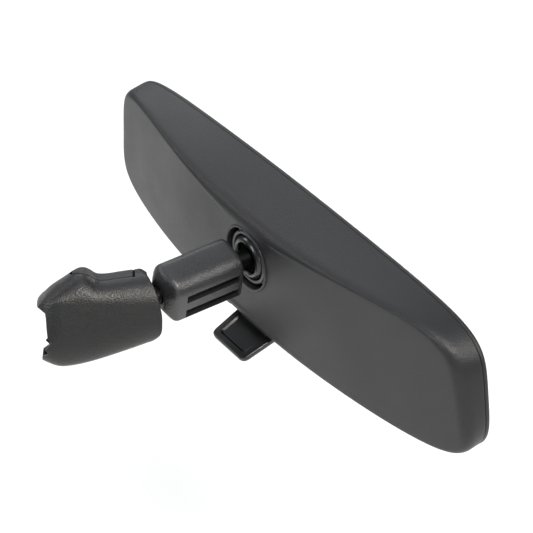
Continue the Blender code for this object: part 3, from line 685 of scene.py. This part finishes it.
def housing_rings():
    """Skin of the housing, from its rim over the rounded ridge to the middle of its back."""
    side_steps = 5
    fillet_steps = 10
    overrun = 4
    inward = 0.9
    face = [0.95 - 0.035 * k for k in range(27)]
    middle = Vector((0, 0, 0))
    profiles = []
    for t in ANGLES:
        rim = Vector((rim_point(t)[0], HOUSING_START, rim_point(t)[1]))
        x, z = ridge_point(t)
        ridge = Vector((x, bow(x), z))
        inner = Vector((x * inward, bow(x * inward), z * inward))
        side = ridge + (rim - ridge).normalized() * RIDGE_ROUNDING
        turn = ridge + (inner - ridge).normalized() * RIDGE_ROUNDING
        lead = rim + (rim - side) * (overrun / (side.y - rim.y))
        profile = [lead.lerp(side, k / side_steps) for k in range(side_steps)]
        profile += [rounding(side, ridge, turn, k / fillet_steps) for k in range(fillet_steps + 1)]
        for scale in face:
            spot = turn.lerp(middle, 1 - scale)
            profile.append(Vector((spot.x, back_depth(spot.x, spot.z), spot.z)))
        profiles.append(profile)
    rings = [list(ring) for ring in zip(*profiles)]
    rings.append([Vector((0, back_depth(0, 0), 0))])
    return rings


def socket_lip():
    """Raised lip with a rounded outer edge, round the socket hole."""
    edge = 0.5
    rise = LIP_TOP - LIP_SHOULDER
    lip = [(LIP_INNER, LIP_BOTTOM), (LIP_OUTER, LIP_BOTTOM), (LIP_OUTER, LIP_SHOULDER)]
    for a in (0.4, 0.8, 1.2, 1.6):
        lip.append((LIP_OUTER - edge + edge * math.cos(a), LIP_SHOULDER + rise * math.sin(a)))
    lip += [(13.15, LIP_TOP - 0.1), (SOCKET_RADIUS, LIP_TOP - 0.4), (LIP_INNER, LIP_TOP - 0.4)]
    return turned_mesh(lip, 128, closed=True)


def rear_housing():
    """Thin shell with the lipped hole for the ball socket and the slot for the lever."""
    skin = new_object("rear_housing_shell", loft_mesh(housing_rings(), close_start=False))
    solid = skin.modifiers.new("wall", "SOLIDIFY")
    solid.thickness = WALL
    solid.offset = -1.0
    settle(skin)
    overrun = box_mesh((-150, -20, -60), (150, HOUSING_START, 60))
    combine(skin, [overrun])
    lip = socket_lip()
    bore = rod_mesh(SOCKET_RADIUS, 18, 34, 128)
    for mesh in (lip, bore):
        mesh.transform(Matrix.Translation((0, 0, HEAD_BALL.z)))
    combine(skin, [lip], "UNION")
    lever_slot = prism_mesh(rounded_outline([(-14, 10.4), (14, 10.4), (14, 40), (-14, 40)], 1.5), -42, -23.3)
    combine(skin, [bore, lever_slot])
    weld(skin.data)
    place(skin, HEAD, HOUSING, "head", ["rear_housing"])


def front_bezel():
    """Frame round the glass, from one closed section of (inset from the rim, depth) points."""
    nose = [(0.3, 2.0), (0.08, 1.85), (0.0, 1.6), (0.0, 0.9)]
    nose += [(0.9 - 0.9 * math.cos(a), 0.9 - 0.9 * math.sin(a)) for a in (0.3, 0.6, 0.9, 1.2)]
    section = nose + [(1.0, 0.0), (5.9, 0.0), (6.3, 0.06), (6.7, 0.25), (6.95, 0.6), (7.0, 1.3)]
    section += [(5.0, 1.3), (5.0, 5.0), (3.8, 5.0), (3.8, 2.0)]
    rings = [inset_ring(inset, y) for inset, y in section]
    bezel = new_object("front_bezel_rim", loft_mesh(rings, cyclic=True))
    place(bezel, HEAD, BEZEL, "head", ["front_bezel"])


def glass_back(z, offset):
    """Depth of the glass's sloping back at height z."""
    return GLASS_BACK + offset + PRISM_SLOPE * (z - PRISM_BOTTOM)


def mirror_glass():
    """Prism-shaped mirror with softened edges, behind the bezel's lip."""
    rings = [
        inset_ring(6.4, GLASS_FRONT),
        inset_ring(5.9, GLASS_FRONT + 0.1),
        inset_ring(5.3, GLASS_FRONT + 0.7),
        inset_ring(5.3, lambda x, z: glass_back(z, -0.5)),
        inset_ring(5.8, lambda x, z: glass_back(z, 0.0)),
    ]
    glass = new_object("prism_glass", loft_mesh(rings))
    place(glass, HEAD, GLASS, "head", ["mirror_glass"], sharp=20)


# ---------------------------------------------------------------- socket round the head ball

def socket_cap():
    """Glossy turned cap whose rounded lip surrounds the ball's neck."""
    cap = arc(CAVITY_R, 87, 50, 12)
    cap += [(6.5, 6.2), (6.55, 6.9), (6.75, 7.3), (7.1, 7.55), (7.5, 7.55), (8.0, 7.3), (8.5, 6.85)]
    cap += [(8.95, 6.2), (9.25, 5.4), (9.4, 4.6), (9.45, 3.9), (9.45, cap[0][1])]
    piece = new_object("socket_cap_ring", turned_mesh(cap, 128, closed=True))
    place(piece, HEAD_JOINT, CAP, "plate", ["socket_cap"])


def retainer_ring():
    """Satin ring round the cap, with three notches in its rim."""
    ring = [(9.75, 4.3), (11.3, 4.3), (11.3, 5.8), (11.22, 6.1), (11.0, 6.3), (10.8, 6.38)]
    ring += [(10.2, 6.38), (9.95, 6.3), (9.8, 6.12), (9.75, 5.8)]
    piece = new_object("retainer_ring_trim", turned_mesh(ring, 128, closed=True))
    count = 3
    first_turn = 2.6
    notches = []
    for k in range(count):
        notch = box_mesh((-0.8, 5.9, 10.7), (0.8, 8.0, 13.0))
        notch.transform(Matrix.Rotation(2 * math.pi * k / count + first_turn, 4, "Y"))
        notches.append(notch)
    combine(piece, notches)
    place(piece, HEAD_JOINT, RING, "plate", ["retainer_ring"])


# ---------------------------------------------------------------- lever with its tab

def tab_recess():
    """Cutter for the recess in the top of the finger tab, whose sides slope in to its bottom."""
    border = rounded_outline([(-9.4, 10.6), (9.4, 10.6), (8.7, 22.9), (-8.7, 22.9)], 1.6, 5)
    bottom = rounded_outline([(-8.6, 11.4), (8.6, 11.4), (7.9, 22.1), (-7.9, 22.1)], 1.2, 5)
    rings = [
        [(x, y, 0.2) for x, y in border],
        [(x, y, -0.28) for x, y in border],
        [(x, y, -0.9) for x, y in bottom],
    ]
    return loft_mesh(rings)


def toggle_lever():
    """Tapering tab with a recess, on a barrel round the pivot pin, with a small cam."""
    root = 12.9
    tip = 11.4
    shoulder = 8.0
    outline = [
        (-root, 0.0), (root, 0.0), (root, shoulder),
        (tip, TAB_REACH), (-tip, TAB_REACH), (-root, shoulder),
    ]
    smooth = rounded_outline(outline, 3.2, 8)
    lever = new_object("toggle_lever_tab", prism_mesh(smooth, -2.6, -0.3))
    bevel_edges(lever, width=0.55, segments=4)
    combine(lever, [tab_recess()])
    barrel = across(rod_mesh(BARREL_RADIUS, -BARREL_HALF_LENGTH, BARREL_HALF_LENGTH, 48))
    cam = prism_mesh([(-1.6, 1.5), (1.9, 1.2), (2.6, 6.6), (2.0, 7.6), (0.8, 7.4)], -3, 3, "YZ")
    combine(lever, [barrel, cam], "UNION")
    combine(lever, [across(rod_mesh(LEVER_PIN_BORE, -20, 20, 32))])
    weld(lever.data)
    place(lever, LEVER, TAB, "lever", ["toggle_lever"])


# ---------------------------------------------------------------- arm

def arm_core():
    """Two balls joined by a neck."""
    meet = math.degrees(math.asin(NECK_R / BALL_R))
    neck_offset = 5.9
    ball_steps = 28
    start = HEAD_BALL.y
    end = MOUNT_BALL.y
    profile = arc(BALL_R, 180, meet + 1, ball_steps, start)
    profile += [(NECK_R, start + neck_offset), (NECK_R, end - neck_offset)]
    profile += arc(BALL_R, 179 - meet, 0, ball_steps, end)
    core = new_object("arm_ball_stud", turned_mesh(profile, 96))
    place(core, ARM_AXIS, BALL, "arm", ["arm_core"])


def arm_section(y, cut):
    """Ring of the arm's rounded box section at distance y, moved inwards by the cut."""
    ring = []
    half_width = ARM_HALF_WIDTH - cut
    half_height = ARM_HALF_HEIGHT - cut
    corner_steps = 10
    largest = 0.8 * half_width
    corners = ((1, 1, 5.6), (-1, 1, 6.2), (-1, -1, 1.6), (1, -1, 1.6))
    for quarter, (sx, sz, corner) in enumerate(corners):
        radius = min(corner, largest)
        for k in range(corner_steps + 1):
            a = math.pi / 2 * (quarter + k / corner_steps)
            x = sx * (half_width - radius) + radius * math.cos(a)
            z = sz * (half_height - radius) + radius * math.sin(a)
            ring.append((x, y, z))
    return ring


def arm_body():
    """Closed body of the arm cover, from (distance, cut) stations with softened ends."""
    stations = [(ARM_FRONT, 1.2), (ARM_FRONT + 0.15, 0.65), (ARM_FRONT + 0.5, 0.22), (ARM_FRONT + 1.0, 0.0)]
    stations += [(34.5 + k * 3.0, 0.0) for k in range(9)]
    stations += [(61.2, 0.0), (61.9, 0.1), (62.5, 0.3), (63.1, 0.68), (63.7, 1.25), (64.4, 2.1), (65.2, 3.2)]
    stations += [(65.6, 3.75), (ARM_END, 4.3)]
    return loft_mesh([arm_section(y, cut) for y, cut in stations])


def arm_cover():
    """Cover of the arm, with a recessed side panel, two slots in it, and two screw holes underneath."""
    cover = new_object("arm_cover_shell", arm_body())
    side = -ARM_HALF_WIDTH
    outside = side - 1
    panel_floor = side + 0.5
    slot_floor = side + 3.6
    start = 33.9
    end = 58.3
    panel = box_mesh((outside, start, -8.8), (panel_floor, end, 3.3))
    upper_slot = box_mesh((outside, start + 0.2, -1.1), (slot_floor, end - 0.1, 3.1))
    lower_slot = box_mesh((outside, start + 0.2, -8.6), (slot_floor, end - 0.1, -5.1))
    combine(cover, [panel, upper_slot, lower_slot])
    neck_bore = rod_mesh(NECK_R + 0.3, 20, 80, 64)
    combine(cover, [neck_bore])
    holes = []
    for y in SCREW_PLACES:
        hole = rod_mesh(SCREW_HOLE_R, -12, -5.2, 32)
        hole.transform(Matrix.Translation((0, y, 0)) @ Matrix.Rotation(math.pi / 2, 4, "X"))
        holes.append(hole)
    combine(cover, holes)
    weld(cover.data)
    place(cover, ARM, ARM_SHELL, "arm", ["arm_cover"], sharp=30)


# ---------------------------------------------------------------- windshield mount

# Side profiles of the cover, as (distance, height) points that a smooth curve joins
TOP_LINE = [
    (-12.0, 13.9), (-0.8, 13.0), (6.9, 11.9), (12.4, 11.05), (15.9, 11.25), (18.2, 12.7), (20.9, 13.6),
    (23.5, 12.9), (28.2, 9.65), (33.3, 6.0), (36.2, 2.9), (37.8, 1.2), (38.8, -0.4),
]
BOTTOM_LINE = [
    (-12.0, -12.0), (-6.7, -13.4), (3.9, -17.2), (15.8, -21.2), (25.2, -23.4), (30.7, -23.4), (38.8, -20.0),
]

# Outlines of what is cut away, as (distance, height). The right half's mouth is cut back further
MOUTH = [
    (-20, -30), (-5.6, -30), (-5.9, -12.9), (-7.1, -12.0), (-8.2, -10.8), (-8.85, -9.4), (-9.1, -7.8),
    (-9.1, -4), (-9.0, -2.4), (-8.4, 0.6), (-7.6, 3.4), (-6.6, 6.4), (-5.4, 9.0), (-4.2, 10.8),
    (-2.9, 12.0), (-1.6, 12.8), (-0.7, 13.2), (-0.7, 20), (-20, 20),
]
RIGHT_MOUTH = [(-20, -30), (-4.2, -30), (-4.2, -2), (-3.4, 3), (-2.2, 7), (-0.9, 10), (-0.9, 20), (-20, 20)]
LOWER_END = [
    (38.4, 0.9), (50, 0.9), (50, -30), (36.6, -30), (36.0, -19.2), (34.9, -18.6), (33.6, -17.9),
    (34.1, -17.2), (35.1, -16.3), (33.9, -15.2), (33.4, -14.2), (31.9, -12.7), (33.7, -12.3),
    (34.0, -11.2), (34.4, -7.0), (34.6, -3.6), (34.9, -1.7), (36.6, -0.4),
]


def cover_section(u, inset):
    """Ring of the cover's section at distance u: drawn in towards its foot, and narrowed by the hood."""
    crown_power = 2.3
    foot_power = 4.2
    hood_start = 28.0
    hood_length = 10.6
    side_taper = 0.22
    crown_taper = 0.35
    lowest = -0.3
    count = 96
    top = smooth_through(TOP_LINE, u)
    slope = smooth_through(TOP_LINE, u + 0.5) - smooth_through(TOP_LINE, u - 0.5)
    top -= inset * math.sqrt(1 + slope * slope)
    bottom = smooth_through(BOTTOM_LINE, u) + inset
    hood = (max(u - hood_start, 0.0) / hood_length) ** 2
    waist = min(WAIST, top - 0.8)
    ring = []
    for k in range(count):
        a = 2 * math.pi * k / count
        s = math.sin(a)
        c = math.cos(a)
        power = 2 / (crown_power if s >= 0 else foot_power)
        height = top - waist if s >= 0 else waist - bottom
        taper = 1 - hood * (side_taper + crown_taper * (max(s, lowest) - lowest) / (1 - lowest))
        rise = math.copysign(abs(s) ** power, s)
        half = (COVER_HALF_WIDTH - inset) * taper * (1 - COVER_DRAFT * max(-rise, 0.0))
        x = half * math.copysign(abs(c) ** power, c)
        ring.append((x, u, waist + height * rise))
    return ring


def cover_shell():
    """The cover in one piece: hollow, and open at its mouth and its lower end."""
    outer = [-11.0 + 0.75 * k for k in range(65)] + [37.6, 38.0, 38.3, 38.5]
    inner = [-14.0] + [-10.0 + 1.0 * k for k in range(46)] + [36.4]
    shell = new_object("cover_solid", loft_mesh([cover_section(u, 0.0) for u in outer]))
    hollow = loft_mesh([cover_section(u, COVER_WALL) for u in inner])
    combine(shell, [hollow, prism_mesh(MOUTH, -20, 20, "YZ"), prism_mesh(LOWER_END, -20, 20, "YZ")])
    return shell


def strip_prism(margin):
    """Upright prism with a round nose, standing off the top strip's outline by the margin."""
    half = 6.6 + margin
    reach = 5.6 + margin
    start = 1.4 - margin
    end = 20.0
    low = 5.5
    high = 25.5
    steps = 24
    outline = [(half, start), (half, end)]
    for k in range(1, steps):
        a = math.pi * k / steps
        outline.append((half * math.cos(a), end + reach * math.sin(a)))
    outline += [(-half, end), (-half, start)]
    return prism_mesh(outline, low, high)


def mount_cover():
    """Top strip and two halves, all cut from one shell, with a groove between strip and halves."""
    strip_margin = -0.7
    groove_margin = 0.2
    half_seam = 0.1
    shell = cover_shell()
    strip = new_object("cover_strip_trim", shell.data.copy())
    combine(strip, [strip_prism(strip_margin)], "INTERSECT")
    weld(strip.data)
    place(strip, MOUNT, STRIP, "mount", ["cover_top_strip"])
    for name, side in (("cover_half_left", -1), ("cover_half_right", 1)):
        half = new_object(name + "_shell", shell.data.copy())
        low = -40 if side > 0 else -half_seam
        high = half_seam if side > 0 else 40
        other_side = box_mesh((low, -35, -45), (high, 60, 45))
        cuts = [other_side, strip_prism(groove_margin)]
        if side > 0:
            cuts.append(prism_mesh(RIGHT_MOUTH, 2, 32, "YZ"))
        combine(half, cuts)
        weld(half.data)
        place(half, MOUNT, COVER_SHELL, "mount", [name])
    bpy.data.objects.remove(shell)


# ---------------------------------------------------------------- CAD nodes that keep their shape

def finish_cad_nodes():
    """Give each CAD node that stays its real material."""
    looks = (
        (ZINC, ("mount_bracket", "pivot_bracket", "lever_bracket")),
        (CAP, ("mount_cap",)),
        (FOAM, ("glass_pad",)),
        (
            NYLON,
            ("mount_seat_inner", "mount_seat_outer", "head_seat_inner", "head_seat_outer", "socket_plate"),
        ),
        (
            STEEL,
            (
                "button_clip", "set_screw", "mount_spring", "socket_spring", "hinge_pin", "lever_pin",
                "detent_spring", "arm_screw_front", "arm_screw_rear", "pivot_screw_left",
                "pivot_screw_right", "lever_screw_left", "lever_screw_right",
            ),
        ),
    )
    for material, names in looks:
        for name in names:
            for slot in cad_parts[name].material_slots:
                slot.material = material


# ---------------------------------------------------------------- studio

# Camera, in the head frame, in millimetres
CAMERA_SPOT = Vector((-590.9, 399.0, 502.0))
CAMERA_RIGHT = Vector((-0.5609, -0.8274, -0.0288))
CAMERA_UP = Vector((0.4694, -0.3465, 0.8122))
CAMERA_LENS = 148.2
SENSOR_WIDTH = 36.0

# The rest of the studio is in metres
NEAR = 0.05
FAR = 50.0
FLOOR_DROP = 0.28
FLOOR_REACH = 6
FLOOR_THICKNESS = 0.02
WORLD_COLOUR = (0.88, 0.93, 1.0, 1.0)
WORLD_STRENGTH = 0.25
OBJECT_MIDDLE = Vector((0.0, -0.05, 0.0))
LIGHT_REACH = 1.2

# Name, direction from the object, diameter, watts and colour of each lamp
LAMPS = (
    ("left_front", (-0.75, -0.43, 0.50), 0.42, 5.8, (1.0, 0.97, 0.96)),
    ("left_back", (-0.86, 0.50, 0.14), 0.42, 0.9, (1.0, 0.97, 0.92)),
    ("front", (0.50, -0.86, 0.14), 0.42, 4.3, (1.0, 0.98, 0.95)),
    ("back", (0.0, 0.87, 0.50), 0.50, 4.7, (0.95, 0.97, 1.0)),
    ("right_back", (0.75, 0.43, 0.50), 0.42, 2.3, (1.0, 0.97, 0.90)),
    ("right", (0.80, -0.30, 0.50), 0.70, 2.6, (0.97, 0.98, 1.0)),
    ("top", (0.0, 0.0, 1.0), 0.9, 2.9, (0.97, 0.98, 1.0)),
    ("edge", (-0.58, 0.17, 0.79), 0.30, 11.5, (1.0, 0.96, 0.87)),
)


def camera():
    """Camera at the place and with the turn given above."""
    back = CAMERA_RIGHT.cross(CAMERA_UP).normalized()
    up = back.cross(CAMERA_RIGHT).normalized()
    right = up.cross(back)
    data = bpy.data.cameras.new("camera")
    data.lens = CAMERA_LENS
    data.sensor_width = SENSOR_WIDTH
    data.clip_start = NEAR
    data.clip_end = FAR
    eye = new_object("camera", data)
    turn = Matrix((right, up, back)).transposed().to_4x4()
    eye.matrix_world = Matrix.Translation(HEAD @ CAMERA_SPOT) @ turn
    bpy.context.scene.camera = eye


def floor():
    """Wide, matt, nearly white floor, well below the object."""
    mesh = box_mesh((-FLOOR_REACH, -FLOOR_REACH, -FLOOR_THICKNESS), (FLOOR_REACH, FLOOR_REACH, 0))
    slab = new_object("studio_floor", mesh)
    slab.location.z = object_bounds()[0][2] - FLOOR_DROP
    n = Nodes("studio_floor")
    tone = n.noise(scale=0.7, detail=1.0)
    n.link(n.mix(tone, (0.93, 0.93, 0.93, 1), (0.95, 0.95, 0.95, 1)), n.shader.inputs["Base Color"])
    mesh.materials.append(n.finish(Roughness=0.9, Specular_IOR_Level=0.1))


def lights():
    """Faint sky and soft round lamps, all aimed at the middle of the object."""
    world = bpy.data.worlds.new("studio")
    bpy.context.scene.world = world
    world.use_nodes = True
    background = world.node_tree.nodes["Background"]
    background.inputs["Color"].default_value = WORLD_COLOUR
    background.inputs["Strength"].default_value = WORLD_STRENGTH
    for name, direction, size, power, colour in LAMPS:
        light = bpy.data.lights.new(name, "AREA")
        light.shape = "DISK"
        light.size = size
        light.energy = power
        light.color = colour
        lamp = new_object(name, light)
        lamp.location = OBJECT_MIDDLE + Vector(direction).normalized() * LIGHT_REACH
        lamp.rotation_euler = (OBJECT_MIDDLE - lamp.location).to_track_quat("-Z", "Y").to_euler()


rear_housing()
front_bezel()
mirror_glass()
socket_cap()
retainer_ring()
toggle_lever()
arm_core()
arm_cover()
mount_cover()
finish_cad_nodes()
camera()
floor()
lights()
bpy.context.scene.view_settings.view_transform = "Standard"
